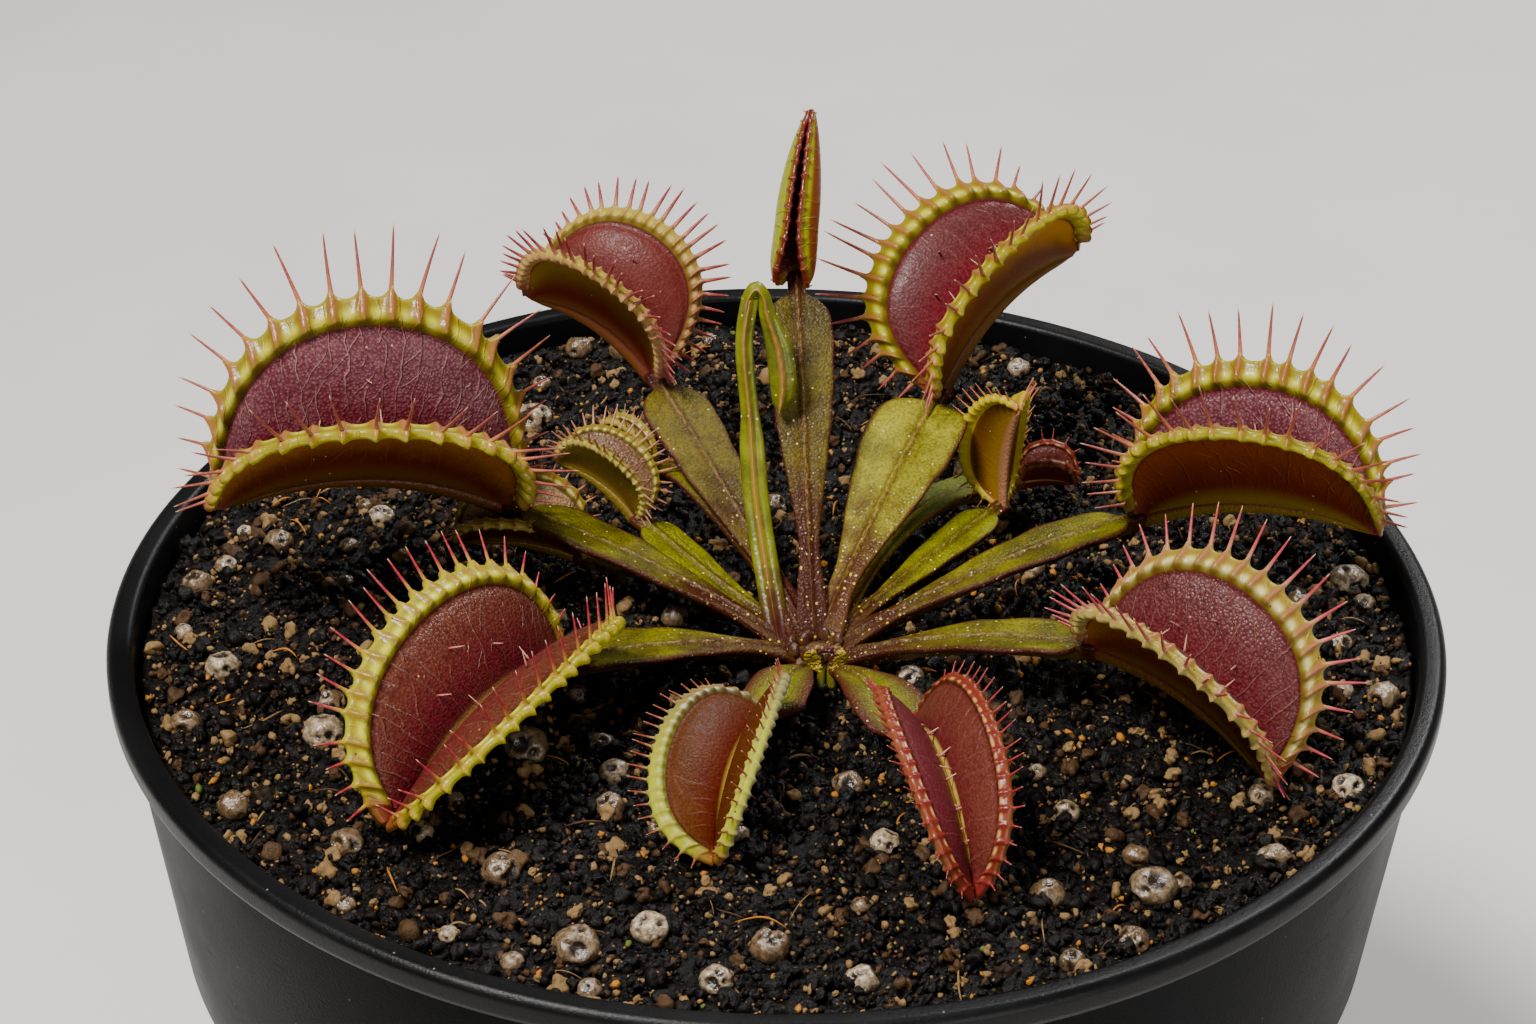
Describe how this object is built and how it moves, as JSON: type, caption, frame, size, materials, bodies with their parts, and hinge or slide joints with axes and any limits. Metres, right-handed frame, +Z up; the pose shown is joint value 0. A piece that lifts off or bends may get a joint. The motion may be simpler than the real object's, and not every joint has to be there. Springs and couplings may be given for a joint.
{
  "type": "potted venus flytrap",
  "caption": "Venus flytrap with toothed snap traps on flat winged stalks round a low crown, growing in dark peat with perlite in a round black nursery pot.",
  "frame": {"origin": "middle of the pot's flat underside, which is the bottom centre of the whole part's box", "axes": "+Z up along the pot's axis; -Y is the side seen in the picture, towards the viewer; +X is the viewer's right"},
  "size_m": [0.12, 0.12, 0.1343],
  "materials": {
    "pot": "satin, fine moulded grain",
    "soil": "rough damp peat crumbs with pale glassy perlite grains",
    "crown": "rough, scaly",
    "stalk": "waxy leaf, semi-gloss",
    "trap": "fleshy, moist semi-gloss, finely granular inside",
    "young": "soft young leaf, semi-gloss"
  },
  "bodies": {
    "root": {"pot": "pot", "soil": "soil", "crown": "crown", "bud_curled": "young", "stalk_01": "stalk", "trap_01": "trap", "stalk_02": "stalk", "trap_02": "trap", "stalk_03": "stalk", "trap_03": "trap", "stalk_04": "stalk", "trap_04": "young", "stalk_05": "stalk", "trap_05": "trap", "stalk_06": "stalk", "trap_06": "trap", "stalk_07": "stalk", "trap_07": "trap", "stalk_08": "stalk", "trap_08": "trap", "stalk_09": "stalk", "trap_09": "trap", "stalk_10": "stalk", "trap_10": "trap", "stalk_11": "stalk", "trap_11": "trap", "stalk_12": "stalk", "trap_12": "trap", "stalk_13": "stalk", "trap_13": "trap", "stalk_14": "stalk", "trap_14": "trap", "stalk_15": "stalk", "trap_15": "trap"}
  },
  "joints": []
}
